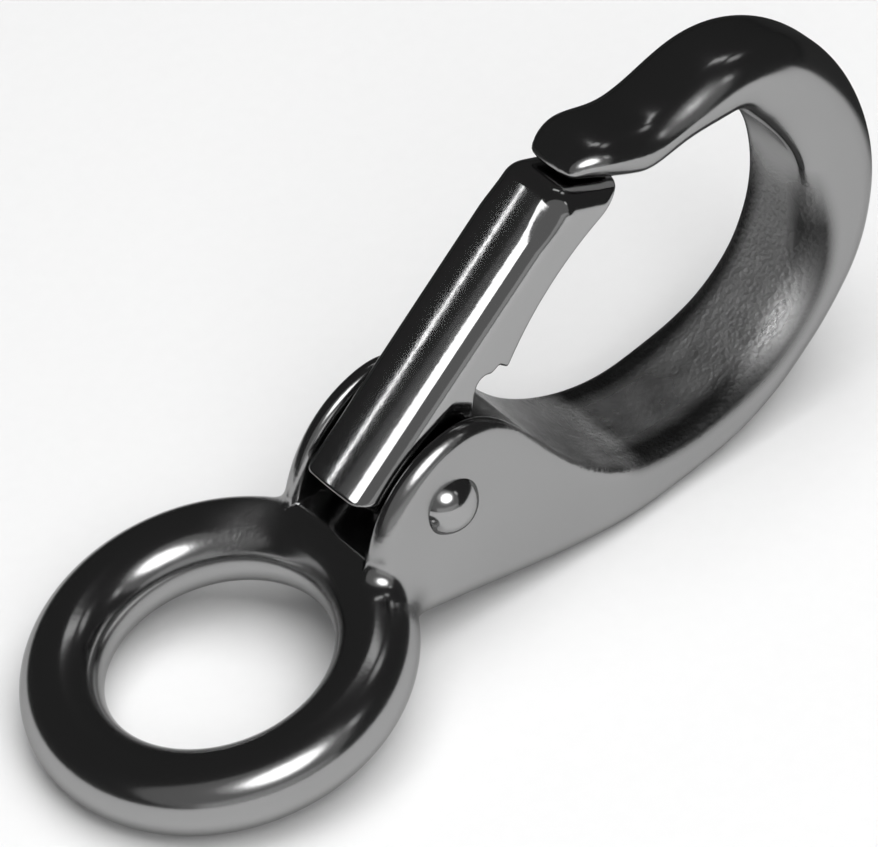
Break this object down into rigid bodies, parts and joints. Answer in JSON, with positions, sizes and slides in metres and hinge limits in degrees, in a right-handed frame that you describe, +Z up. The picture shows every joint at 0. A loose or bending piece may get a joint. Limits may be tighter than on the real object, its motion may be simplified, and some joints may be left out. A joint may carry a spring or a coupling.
{
  "type": "fixed-eye boat snap",
  "caption": "Cast stainless boat snap (spring snap hook) with a fixed eye set across the hook, a channel gate sprung shut under the bill of the nose, and a riveted pivot pin.",
  "frame": {"origin": "centre of the eye", "axes": "+X from the eye towards the bend of the hook, +Y across the hook's width along the pivot pin, +Z up from the surface on which the snap lies, gate side up"},
  "size_m": [0.0719, 0.0278, 0.0327],
  "materials": {
    "cast_steel": "polished",
    "gate_steel": "polished",
    "pin_steel": "polished",
    "spring_steel": "satin"
  },
  "bodies": {
    "body": {"body": "cast_steel", "pivot_pin": "pin_steel", "spring": "spring_steel"},
    "gate": {"gate": "gate_steel"}
  },
  "joints": [
    {"name": "gate", "type": "hinge", "parent": "body", "child": "gate", "pos_m": [0.01674, 0, 0.00736], "axis": [0, 1, 0], "range_deg": [0, 38], "stiffness_Nm_per_rad": 0.12, "springref_deg": -34.38, "deforming": ["spring"]}
  ]
}
